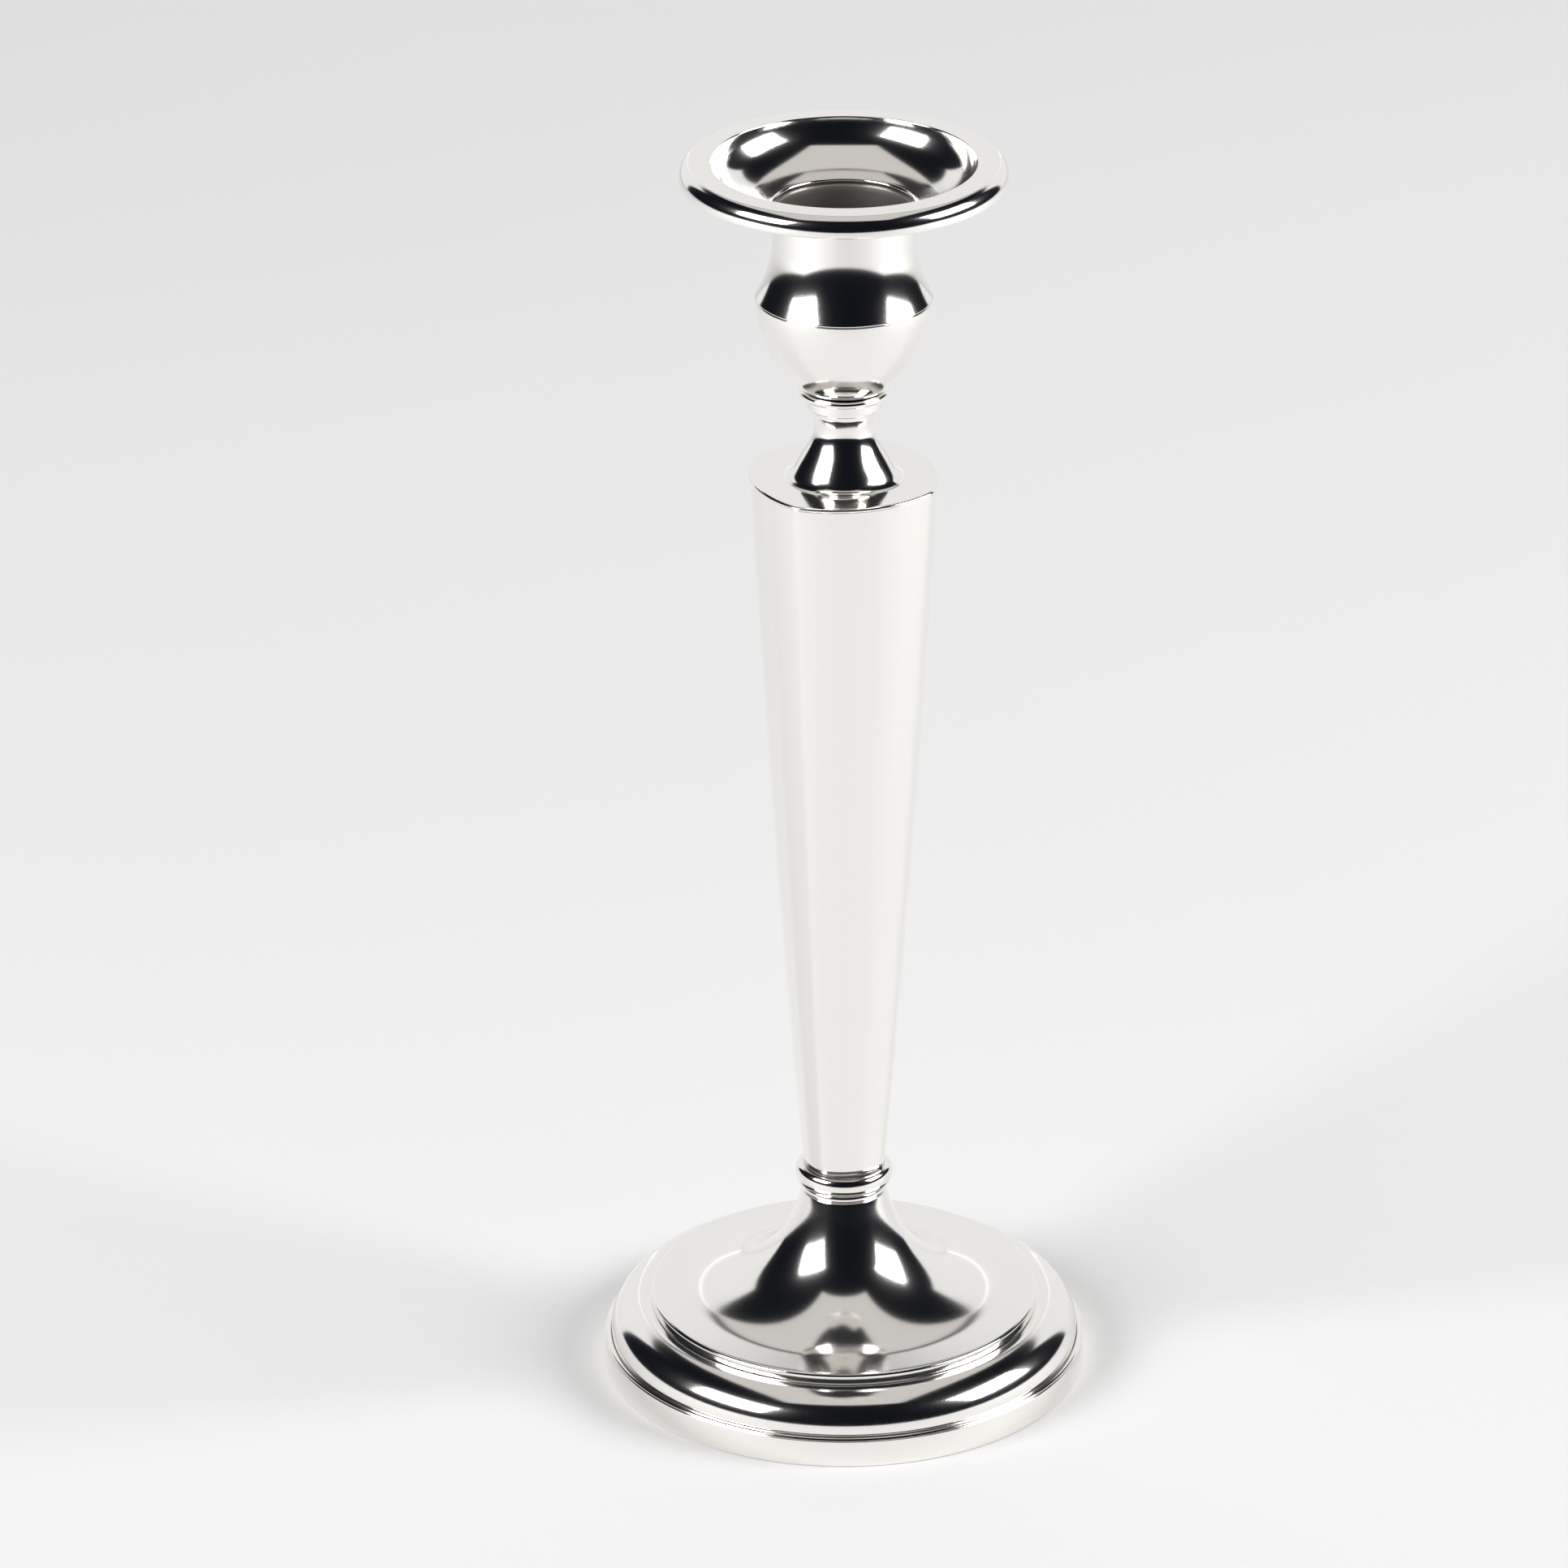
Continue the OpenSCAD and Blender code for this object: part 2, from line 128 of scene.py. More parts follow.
class CandlestickSizes(bpy.types.PropertyGroup):
    sheet_t: length("Sheet", "Thickness of the silver sheet", 0.35)
    shoulder_t: length("Shoulder sheet", "Thickness of the shoulder plate", 0.7)
    neck_r: length("Neck radius", "Outer radius of the straight neck", 11.3)
    neck_h: length("Neck height", "Height of the straight neck", 6.05)
    flare_h: length("Flare height", "Height from the seam to the straight neck", 9.7)
    lip_r: length("Lip radius", "Radius of the rounded lip at the candle hole", 0.45)
    crease_r: length("Crease radius", "Radius of the crease between the bowl and the rim", 20.9)
    pan_depth: length("Pan depth", "Depth of the drip pan's bowl", 6.8)
    rim_h: length("Rim height", "Height of the rim's rolled edge", 3.4)
    liner_t: length("Liner wall", "Thickness of the socket liner", 0.33)
    bowl_foot_r: length("Cup foot radius", "Radius where the cup stands on its flange", 6)
    rod_hole_r: length("Rod hole", "Radius of the hole for the core rod", 2.05)
    collar_r: length("Collar radius", "Radius of the collar's band", 5.95)
    flange_t: length("Flange", "Thickness of the flange on the collar", 1)
    spool_top_r: length("Spool top", "Radius of the shoulder cap under the collar", 5.3)
    waist_r: length("Waist radius", "Radius of the spool's waist", 4.75)
    waist_h: length("Waist height", "Height of the waist above the column", 8.8)
    column_foot: length("Column foot", "Half width of the column at its foot", 6.6)
    column_swell: length("Column swell", "Swelling of the column's outline at mid-height", 0.55)
    stem_r: length("Stem radius", "Radius of the trumpet under the ring", 6.8)
    ring_bead_h: length("Ring bead", "Height of the ring's bead", 3.2)
    ring_nose: length("Ring nose", "How far the ring's bead curves in to its flat top", 0.85)
    disc_flat: length("Disc margin", "Width of the nearly flat margin round the foot disc", 5.9)
    disc_fall: length("Disc fall", "Fall of that margin towards the disc's edge", 0.25)
    disc_edge_r: length("Disc rounding", "Radius of the rounding at the edge of the foot disc", 0.5)
    disc_edge_h: length("Disc edge", "Height of the foot disc's turned-down edge", 1.8)
    ovolo_w: length("Moulding width", "Width of the quarter-round moulding", 5.6)
    ovolo_h: length("Moulding height", "Height of the quarter-round moulding", 5.4)
    plinth_t: length("Plinth band", "Thickness of the plinth band", 1.1)
    plinth_bead_r: length("Plinth bead", "Radius of the bead on top of the plinth band", 0.45)
    rim_edge_r: length("Rim edge", "Radius of the rim's rolled edge", 0.5)
    column_corner: factor("Column corner", "Corner radius as a share of the half width", 0.035)
    column_face: amount("Column face", "Radius of each bowed face as a share of the half width", 1.3)


class CandlestickFinish(bpy.types.PropertyGroup):
    silver: tint("Silver", "Polished silver", (0.93, 0.915, 0.885))
    warm_silver: tint("Warm silver", "Silver with a breath of tarnish", (0.9, 0.86, 0.8))
    # Colour of the tarnish and of the painted shade in the grooves, seams and column corners
    tarnish: tint("Tarnish", "Dark tarnish left in the grooves", (0.12, 0.1, 0.085))
    tin: tint("Tin", "Tinned wall of the candle hole", (0.24, 0.22, 0.2))
    grime: tint("Grime", "Wax and soot in the candle hole", (0.1, 0.08, 0.065))
    felt: tint("Felt", "Felt under the foot", (0.012, 0.075, 0.035))
    cement: tint("Cement", "Cement that loads the inside", (0.55, 0.5, 0.42))
    steel: tint("Steel", "Rod, nuts, washers and plate", (0.42, 0.42, 0.43))
    card: tint("Card", "Card that backs the felt", (0.34, 0.24, 0.15))
    polish: factor("Polish", "Roughness of the polished silver", 0.05)


class CandlestickStage(bpy.types.PropertyGroup):
    camera_azimuth: angle("Camera azimuth", "Direction of the camera round the object", -16.7)
    camera_pitch: angle("Camera pitch", "How far the camera looks down", 24.245)
    camera_yaw: angle("Camera yaw", "How far the camera is turned from the object's axis", 0.442)
    camera_roll: angle("Camera roll", "Turn of the camera that keeps the object's axis upright", -0.18)
    camera_distance: length("Camera distance", "Distance of the camera from the object's axis", 1252)
    camera_height: length("Camera height", "Height of the camera above the floor", 667.2)
    lens: amount("Lens", "Focal length in millimetres", 195.83)
    floor_colour: tint("Floor", "Pale floor", (0.84, 0.84, 0.84))
    room_colour: tint("Room", "Unlit room round the table", (0.004, 0.005, 0.008))
    key_strength: amount("Key lights", "Radiance of the two side lights", 11.2)
    panel_strength: amount("Overhead panel", "Radiance of the panel above the object", 0.62)
    sweep_strength: amount("White sweep", "Radiance of the white sweep behind", 0.86)


# ------------------------------------------------------------------ outlines
# An outline is a list of (radius, height) points, and n is the number of steps along it.

def bezier(a, b, c, d, n):
    """Curve from a to d that leaves towards b and arrives from c, two given handles."""
    points = []
    for i in range(n + 1):
        t = i / n
        u = 1 - t
        points.append(tuple(
            u ** 3 * a[k] + 3 * u * u * t * b[k] + 3 * u * t * t * c[k] + t ** 3 * d[k] for k in (0, 1)))
    return points


def arc(centre, rx, rz, start, stop, n):
    """Part of an ellipse, from one angle in degrees to another."""
    turns = [math.radians(start + (stop - start) * i / n) for i in range(n + 1)]
    return [(centre[0] + rx * math.cos(a), centre[1] + rz * math.sin(a)) for a in turns]


def straight(a, b, n):
    return [(a[0] + (b[0] - a[0]) * i / n, a[1] + (b[1] - a[1]) * i / n) for i in range(n + 1)]


def joined(*paths):
    """The paths end to end, without the points that repeat."""
    points = []
    for path in paths:
        for p in path:
            if not points or math.dist(p, points[-1]) > SAME_POINT:
                points.append(p)
    return points


def beside(path, gap):
    """The path moved sideways, to its right."""
    moved = []
    for i, p in enumerate(path):
        a, b = path[max(i - 1, 0)], path[min(i + 1, len(path) - 1)]
        run = math.dist(a, b)
        moved.append((p[0] + gap * (b[1] - a[1]) / run, p[1] - gap * (b[0] - a[0]) / run))
    return moved


def sheet(path, thickness):
    """Closed outline of a sheet that lies to the right of the path."""
    return path + beside(path, thickness)[::-1]


# -------------------------------------------------------------------- meshes

def bearing(azimuth, distance, height):
    """A point in a direction round the object, where azimuth 0 is towards -Y."""
    return Vector((math.sin(azimuth) * distance, -math.cos(azimuth) * distance, height))


def spun(outline):
    """A closed outline spun about the vertical axis."""
    bm = bmesh.new()
    points = [bm.verts.new((r, 0, z)) for r, z in outline]
    edges = [bm.edges.new(pair) for pair in zip(points, points[1:] + points[:1])]
    bmesh.ops.spin(
        bm, geom=points + edges, cent=(0, 0, 0), axis=(0, 0, 1), angle=math.tau,
        steps=SPIN_STEPS, use_merge=True)
    bmesh.ops.remove_doubles(bm, verts=bm.verts, dist=WELD_GAP)
    bmesh.ops.recalc_face_normals(bm, faces=bm.faces)
    return bm


def wavy(bm, depth, size, seed):
    """Sinks a polished skin here and there, as hand work leaves it."""
    bm.normal_update()
    offset = Vector((seed, seed * 2, seed * 3))
    for v in bm.verts:
        v.co += v.normal * depth * (noise.noise(v.co / size + offset) - 1) / 2


def dent(bm, centre, radius, push):
    """Presses the mesh near a point along a vector."""
    centre, push = Vector(centre), Vector(push)
    for v in bm.verts:
        share = (v.co - centre).length / radius
        if share < 1:
            v.co += push * (1 - share * share) ** 2


def store_tarnish_and_shade(bm, strength):
    """Stores how much tarnish and painted shade lies at each point, from its radius and height."""
    layer = bm.verts.layers.float.new("tarnish_and_shade")
    for v in bm.verts:
        v[layer] = strength(math.hypot(v.co.x, v.co.y), v.co.z)


def near(r, z, lines):
    """1 on the given (radius, height, spread) lines and falling away from them."""
    return max(math.exp(-((r - a) ** 2 + (z - b) ** 2) / (2 * s * s)) for a, b, s in lines)


def finished(name, bm, material, slot, *nodes):
    """Turns the mesh into a piece that rides on the frame and stands for the given nodes."""
    if not bm.faces:
        raise RuntimeError(f"{name} has no faces")
    for face in bm.faces:
        face.smooth = True
    mesh = bpy.data.meshes.new(name)
    bm.to_mesh(mesh)
    bm.free()
    mesh.materials.append(material)
    piece = bpy.data.objects.new(name, mesh)
    bpy.context.scene.collection.objects.link(piece)
    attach(piece, "root")
    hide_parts(*nodes)


# ----------------------------------------------------------------- materials

def put(tree, kind, inputs=None, **settings):
    """Adds a shader node, sets its options and sets or links its inputs."""
    made = tree.nodes.new(kind)
    for key, value in settings.items():
        setattr(made, key, value)
    for key, value in (inputs or {}).items():
        if isinstance(value, bpy.types.NodeSocket):
            tree.links.new(value, made.inputs[key])
        else:
            made.inputs[key].default_value = value
    return made


def blank(name):
    """An empty material, its tree, and the object coordinates that its textures lie in."""
    material = bpy.data.materials.new(name)
    material.use_nodes = True
    tree = material.node_tree
    tree.nodes.clear()
    return material, tree, put(tree, "ShaderNodeTexCoord").outputs["Object"]


def rgba(colour):
    return (*colour, 1)


def grain(tree, place, size, detail=2, stretch=(1, 1, 1), turn=(0, 0, 0)):
    """Noise whose features are about size metres across, times the stretch."""
    mapped = put(tree, "ShaderNodeMapping", {
        "Vector": place, "Rotation": turn, "Scale": tuple(1 / (size * s) for s in stretch)})
    return put(tree, "ShaderNodeTexNoise", {
        "Vector": mapped.outputs["Vector"], "Scale": 1, "Detail": detail}).outputs["Fac"]


def between(tree, value, low, high, to_low=0.0, to_high=1.0):
    """Eases the stretch from low to high onto the one from to_low to to_high."""
    return put(tree, "ShaderNodeMapRange", {
        "Value": value, "From Min": low, "From Max": high, "To Min": to_low, "To Max": to_high},
        interpolation_type="SMOOTHSTEP").outputs["Result"]


def blended(tree, share, a, b):
    return put(tree, "ShaderNodeMix", {0: share, 6: a, 7: b}, data_type="RGBA").outputs[2]


def mottled(tree, field, colour, change):
    """The colour, drifting to change times itself where the field is high."""
    return blended(tree, between(tree, field, 0.3, 0.7), rgba(colour), rgba([c * change for c in colour]))


def maths(tree, operation, a, b):
    return put(tree, "ShaderNodeMath", {0: a, 1: b}, operation=operation).outputs[0]


def shaded(tree, **inputs):
    """Ends a material with its shader."""
    sockets = {
        key.replace("_", " ").title().replace("Ior", "IOR"): value for key, value in inputs.items()}
    shader = put(tree, "ShaderNodeBsdfPrincipled", sockets)
    put(tree, "ShaderNodeOutputMaterial", {"Surface": shader.outputs["BSDF"]})


def scratches(tree, place, run, width, turn, rarity):
    """Short fine lines along one direction."""
    fade = 0.07
    field = grain(tree, place, width, detail=0, stretch=(run / width, 1, 1), turn=turn)
    return between(tree, field, rarity, rarity + fade)


def silver(name, finish, polish_lines=True):
    """Polished silver: faint tone drift, hair scratches, polishing lines, and tarnish with painted shade
    in the grooves.
    """
    material, tree, place = blank(name)
    drift = between(tree, grain(tree, place, 22 * MM, detail=3), 0.45, 0.8)
    colour = blended(tree, drift, rgba(finish.silver), rgba(finish.warm_silver))
    tarnish_and_shade = put(tree, "ShaderNodeAttribute", attribute_name="tarnish_and_shade").outputs["Fac"]
    worn = between(tree, grain(tree, place, 1.6 * MM, detail=4), 0.25, 0.6, 0.55, 1)
    broken_tarnish_and_shade = maths(tree, "MULTIPLY", tarnish_and_shade, worn)
    # Tarnish and painted shade darken the grooves and seams, and a painted dark reflection line darkens
    # the column corners
    colour = blended(tree, broken_tarnish_and_shade, colour, rgba(finish.tarnish))

    hair = [
        scratches(tree, place, run * MM, width * MM, turn, rarity) for run, width, turn, rarity in HAIR]
    marks = maths(tree, "MAXIMUM", maths(tree, "MAXIMUM", hair[0], hair[1]), hair[2])
    patches = between(tree, grain(tree, place, 9 * MM), 0.42, 0.62)
    marks = maths(tree, "MULTIPLY", marks, patches)
    haze_rise, mark_rise, tarnish_rise, line_height = 0.05, 0.32, 0.4, 0.12
    haze = grain(tree, place, 6 * MM, detail=4)
    haze = between(tree, haze, 0.35, 0.75, finish.polish, finish.polish + haze_rise)
    roughness = maths(tree, "ADD", haze, maths(tree, "MULTIPLY", marks, mark_rise))
    roughness = maths(tree, "ADD", roughness, maths(tree, "MULTIPLY", broken_tarnish_and_shade, tarnish_rise))

    height = maths(tree, "MULTIPLY", marks, -1)
    if polish_lines:
        spread = put(tree, "ShaderNodeSeparateXYZ", {"Vector": place})
        level = put(
            tree, "ShaderNodeVectorMath", {0: place, 1: (1, 1, 0)}, operation="MULTIPLY").outputs[0]
        radius = put(tree, "ShaderNodeVectorMath", {0: level}, operation="LENGTH").outputs["Value"]
        rings = put(tree, "ShaderNodeCombineXYZ", {"X": radius, "Z": spread.outputs["Z"]}).outputs[0]
        lines = maths(tree, "MULTIPLY", grain(tree, rings, 0.12 * MM, detail=1), line_height)
        height = maths(tree, "ADD", height, lines)
    bump = put(tree, "ShaderNodeBump", {"Height": height, "Strength": 0.6, "Distance": 0.004 * MM})
    shaded(tree, base_color=colour, metallic=1, roughness=roughness, normal=bump.outputs["Normal"])
    return material


def tinned(name, finish):
    """Dull tinned wall of the candle hole, stained with wax and soot."""
    material, tree, place = blank(name)
    speck_share, wax = 0.5, (0.55, 0.52, 0.48)
    stains = between(tree, grain(tree, place, 2.4 * MM, detail=6), 0.4, 0.62)
    specks = between(tree, grain(tree, place, 0.5 * MM, detail=3), 0.5, 0.7)
    colour = blended(tree, stains, rgba(finish.tin), rgba(finish.grime))
    colour = blended(tree, maths(tree, "MULTIPLY", specks, speck_share), colour, rgba(wax))
    roughness = between(tree, stains, 0, 1, 0.32, 0.7)
    bump = put(tree, "ShaderNodeBump", {
        "Height": grain(tree, place, 0.6 * MM, detail=5), "Strength": 0.8, "Distance": 0.12 * MM})
    shaded(tree, base_color=colour, metallic=0.75, roughness=roughness, normal=bump.outputs["Normal"])
    return material


def felted(name, finish):
    """Short matted fibres."""
    material, tree, place = blank(name)
    fibres = grain(tree, place, 0.25 * MM, detail=5)
    colour = mottled(tree, fibres, finish.felt, 2.2)
    bump = put(tree, "ShaderNodeBump", {"Height": fibres, "Strength": 0.8, "Distance": 0.15 * MM})
    shaded(tree, base_color=colour, roughness=0.95, sheen_weight=0.4, normal=bump.outputs["Normal"])
    return material


def cemented(name, finish):
    """Gritty plaster cement."""
    material, tree, place = blank(name)
    grit = grain(tree, place, 0.8 * MM, detail=6)
    colour = mottled(tree, grit, finish.cement, 0.7)
    bump = put(tree, "ShaderNodeBump", {"Height": grit, "Strength": 0.6, "Distance": 0.2 * MM})
    shaded(tree, base_color=colour, roughness=0.9, normal=bump.outputs["Normal"])
    return material


def turned_steel(name, finish):
    """Drawn and turned steel with faint lines."""
    material, tree, place = blank(name)
    lines = grain(tree, place, 0.2 * MM, stretch=(8, 8, 1))
    colour = blended(tree, lines, rgba(finish.steel), rgba([c * 0.75 for c in finish.steel]))
    shaded(tree, base_color=colour, metallic=1, roughness=between(tree, lines, 0.3, 0.7, 0.28, 0.45))
    return material


def pasteboard(name, finish):
    """Brown card with its fibres."""
    material, tree, place = blank(name)
    pulp = grain(tree, place, 0.7 * MM, detail=4, stretch=(3, 1, 1))
    colour = mottled(tree, pulp, finish.card, 0.8)
    shaded(tree, base_color=colour, roughness=0.85)
    return material


def material_of(name, maker, *options):
    """The named material, made once."""
    found = bpy.data.materials.get(name)
    return found or maker(name, bpy.context.scene.candlestick_finish, *options)


# -------------------------------------------------------------------- pieces

class PieceOperator:
    """What the piece operators share."""
    bl_options = {"REGISTER", "UNDO"}

    def execute(self, context):
        self.make(context.scene.candlestick_sizes)
        return {"FINISHED"}


class CANDLESTICK_OT_drip_pan(PieceOperator, bpy.types.Operator):
    """Spins the drip pan, its neck and the flare of the cup from one sheet"""
    bl_idname = "candlestick.drip_pan"
    bl_label = "Drip Pan and Neck"

    def make(self, s):
        overhang, band_h, bevel_w, bevel_z = 0.05 * MM, 0.1 * MM, 0.02 * MM, 0.15 * MM
        cup_r, seam_z, pan_r = BOWL[HIGH].x + overhang, BOWL[HIGH].z, PAN[HIGH].x
        neck_z = seam_z + s.flare_h
        lip_z = neck_z + s.neck_h
        crease_z = lip_z + s.pan_depth
        bore_r = s.neck_r - s.sheet_t
        flare = joined(
            [(cup_r, seam_z), (cup_r, seam_z + band_h)],
            bezier((cup_r - bevel_w, seam_z + bevel_z),
                   (cup_r - s.flare_h * 0.12, seam_z + s.flare_h * 0.22),
                   (s.neck_r, seam_z + s.flare_h * 0.56), (s.neck_r, neck_z), 40))
        rim_w, rim_fall, rim_drop, crease_w = 1.8 * MM, 0.1 * MM, 2.2 * MM, 0.05 * MM
        rim_r, rim_z = pan_r - rim_w, crease_z - rim_fall
        edge = (pan_r - s.rim_edge_r, crease_z - s.rim_h + s.rim_edge_r)
        path = joined(
            beside(flare, -s.sheet_t),
            straight((bore_r, neck_z), (bore_r, lip_z - s.lip_r), 5),
            arc((bore_r + s.lip_r, lip_z - s.lip_r), s.lip_r, s.lip_r, 180, 90, 10),
            bezier((bore_r + 2 * s.lip_r, lip_z), (bore_r + 6 * MM, lip_z),
                   (s.crease_r - 0.5 * MM, crease_z - s.pan_depth * 0.6), (s.crease_r, crease_z), 48),
            straight((s.crease_r + crease_w, crease_z), (rim_r, rim_z), 6),
            arc((rim_r, rim_z - rim_drop), pan_r - rim_r, rim_drop, 90, 0, 24),
            arc(edge, s.rim_edge_r, s.rim_edge_r, 0, -80, 8))
        bm = spun(sheet(path, s.sheet_t))
        wavy(bm, depth=0.012 * MM, size=9 * MM, seed=1)
        store_tarnish_and_shade(bm, lambda r, z: near(r, z, [
            (cup_r, seam_z, 0.12 * MM), (s.crease_r, crease_z, 0.1 * MM)]))
        spun_silver = material_of("silver_spun", silver)
        finished("spun_drip_pan", bm, spun_silver, "silver_spun", "drip_pan_and_neck")


class CANDLESTICK_OT_socket_liner(PieceOperator, bpy.types.Operator):
    """Turns the tinned cup that holds the candle"""
    bl_idname = "candlestick.socket_liner"
    bl_label = "Socket Liner"

    def make(self, s):
        outer, foot_z, top_z = LINER[HIGH].x, LINER[LOW].z, LINER[HIGH].z
        bore = outer - s.liner_t
        floor_z = foot_z + s.liner_t
        foot_r, lip_h, fillet = 0.25 * MM, 0.12 * MM, 0.5 * MM
        outline = joined(
            [(AXIS_GAP, foot_z)],
            arc((outer - foot_r, foot_z + foot_r), foot_r, foot_r, -90, 0, 4),
            straight((outer, foot_z + foot_r), (outer, top_z - lip_h), 12),
            arc((outer - s.liner_t / 2, top_z - lip_h), s.liner_t / 2, lip_h, 0, 180, 8),
            straight((bore, top_z - lip_h), (bore, floor_z + fillet), 24),
            arc((bore - fillet, floor_z + fillet), fillet, fillet, 0, -90, 5),
            [(AXIS_GAP, floor_z)])
        bm = spun(outline)
        finished("tinned_socket", bm, material_of("tinned_liner", tinned), "tinned_liner", "socket_liner")


class CANDLESTICK_OT_cup_bowl(PieceOperator, bpy.types.Operator):
    """Spins the lower half of the urn-shaped cup"""
    bl_idname = "candlestick.cup_bowl"
    bl_label = "Cup Bowl"

    def make(self, s):
        top_r, foot_z, seam_z = BOWL[HIGH].x, BOWL[LOW].z, BOWL[HIGH].z
        height = seam_z - foot_z
        band_z = seam_z - 0.3 * MM
        path = joined(
            straight((top_r, seam_z), (top_r, band_z), 2),
            bezier((top_r, band_z), (top_r + 0.05 * MM, seam_z - height * 0.32),
                   (top_r * 0.79, foot_z + height * 0.14), (s.bowl_foot_r, foot_z), 56),
            [(s.rod_hole_r, foot_z)])
        bm = spun(sheet(path, s.sheet_t))
        wavy(bm, depth=0.012 * MM, size=8 * MM, seed=2)
        store_tarnish_and_shade(bm, lambda r, z: near(r, z, [
            (top_r, seam_z, 0.12 * MM), (s.bowl_foot_r, foot_z, 0.3 * MM)]))
        finished("spun_cup_bowl", bm, material_of("silver_spun", silver), "silver_spun", "cup_bowl")


class CANDLESTICK_OT_cup_collar(PieceOperator, bpy.types.Operator):
    """Turns the collar and thin flange under the cup"""
    bl_idname = "candlestick.cup_collar"
    bl_label = "Cup Collar"

    def make(self, s):
        foot_z, top_z, flange_r = COLLAR[LOW].z, COLLAR[HIGH].z, COLLAR[HIGH].x
        flange_z = top_z - s.flange_t
        foot_r, root_r, under_r, over_w, over_h = 0.15 * MM, 0.25 * MM, 0.3 * MM, 0.55 * MM, 0.45 * MM
        outline = joined(
            [(s.rod_hole_r, foot_z), (s.collar_r - foot_r, foot_z)],
            arc((s.collar_r - foot_r, foot_z + foot_r), foot_r, foot_r, -90, 0, 4),
            straight((s.collar_r, foot_z + foot_r), (s.collar_r, flange_z - root_r), 4),
            arc((s.collar_r + root_r, flange_z - root_r), root_r, root_r, 180, 90, 4),
            arc((flange_r - under_r, flange_z + under_r), under_r, under_r, -90, 0, 6),
            arc((flange_r - over_w, top_z - over_h), over_w, over_h, 0, 90, 8),
            [(s.rod_hole_r, top_z)])
        bm = spun(outline)
        store_tarnish_and_shade(bm, lambda r, z: near(r, z, [
            (s.collar_r, foot_z, 0.2 * MM), (s.collar_r + 0.2 * MM, flange_z, 0.2 * MM),
            (s.bowl_foot_r, top_z, 0.3 * MM)]))
        finished("turned_cup_collar", bm, material_of("silver_cast", silver), "silver_cast", "cup_collar")


def arc_centres(half, corner, face_r):
    """How far along x a face's arc is centred, and how far along x and y its corner's is."""
    face_x = half - face_r
    return face_x, (face_x + math.sqrt(2 * (face_r - corner) ** 2 - face_x ** 2)) / 2


def square_reach(turn, half, corner, face_r):
    """Distance from the axis to the edge of a square with round corners and sides bowed to face_r."""
    across = abs((turn + math.pi / 4) % (math.pi / 2) - math.pi / 4)
    face_x, corner_x = arc_centres(half, corner, face_r)
    if across < corner_start(half, corner, face_r):
        return face_x * math.cos(across) + math.sqrt(face_r ** 2 - (face_x * math.sin(across)) ** 2)
    slant = corner_x * (math.cos(across) - math.sin(across))
    return corner_x * (math.cos(across) + math.sin(across)) + math.sqrt(max(corner ** 2 - slant ** 2, 0))


def corner_start(half, corner, face_r):
    """Direction from the axis, measured from a face's middle, where the round corner starts."""
    face_x, corner_x = arc_centres(half, corner, face_r)
    bend = math.atan2(corner_x, corner_x - face_x)
    return math.atan2(corner_x + corner * math.sin(bend), corner_x + corner * math.cos(bend))


def column_half(s, share):
    """Half width of the column at a share of its height."""
    top_half = COLUMN[HIGH].x
    return s.column_foot + (top_half - s.column_foot) * share + 4 * s.column_swell * share * (1 - share)


class CANDLESTICK_OT_shoulder_cap(PieceOperator, bpy.types.Operator):
    """Raises the waisted spool that spreads into the square shoulder plate"""
    bl_idname = "candlestick.shoulder_cap"
    bl_label = "Shoulder Cap"

    def make(self, s):
        foot_z, top_z, half = SHOULDER[LOW].z, SHOULDER[HIGH].z, SHOULDER[HIGH].x
        column_top = COLUMN[HIGH].x
        plate_z = foot_z + s.shoulder_t
        waist_z = foot_z + s.waist_h
        neck = (s.spool_top_r - 0.1 * MM, top_z - 0.8 * MM)
        knee = (s.waist_r + 2.2 * MM, foot_z + 3.8 * MM)
        level_r = knee[0] + 3.05 * MM
        edge_w, rod_side_r = 0.35 * MM, 8 * MM
        path = joined(
            straight((s.spool_top_r, top_z), neck, 3),
            bezier(neck, (s.waist_r, waist_z + 1.4 * MM),
                   (s.waist_r, waist_z + 0.6 * MM), (s.waist_r, waist_z), 16),
            bezier((s.waist_r, waist_z), (s.waist_r + 0.05 * MM, waist_z - 1.7 * MM),
                   (knee[0] - 1.05 * MM, knee[1] + 1.7 * MM), knee, 28),
            bezier(knee, (knee[0] + 1.05 * MM, knee[1] - 1.7 * MM),
                   (knee[0] + 1.35 * MM, plate_z), (level_r, plate_z), 28),
            straight((level_r, plate_z), (half - edge_w, plate_z), 12))
        edge = (half - edge_w, foot_z + s.shoulder_t / 2)
        inner = [(r, z) for r, z in beside(path, s.shoulder_t)
                 if z > foot_z or (r < rod_side_r and z >= foot_z - WELD_GAP)]
        bm = spun(joined(path, arc(edge, edge_w, s.shoulder_t / 2, 90, -90, 10), inner[::-1]))
        blend_r = knee[0]
        margin = half - column_top
        corner, face_r = column_top * s.column_corner + margin, column_top * s.column_face + margin
        for v in bm.verts:
            r = math.hypot(v.co.x, v.co.y)
            if r > blend_r and v.co.z < waist_z:
                reach = square_reach(math.atan2(v.co.y, v.co.x), half, corner, face_r)
                grown = blend_r + (r - blend_r) * (reach - blend_r) / (half - blend_r)
                v.co.x *= grown / r
                v.co.y *= grown / r
        wavy(bm, depth=0.03 * MM, size=5 * MM, seed=3)
        store_tarnish_and_shade(bm, lambda r, z: near(r, z, [(s.spool_top_r, top_z, 0.25 * MM)]))
        finished("raised_shoulder", bm, material_of("silver_cast", silver), "silver_cast", "shoulder_cap")


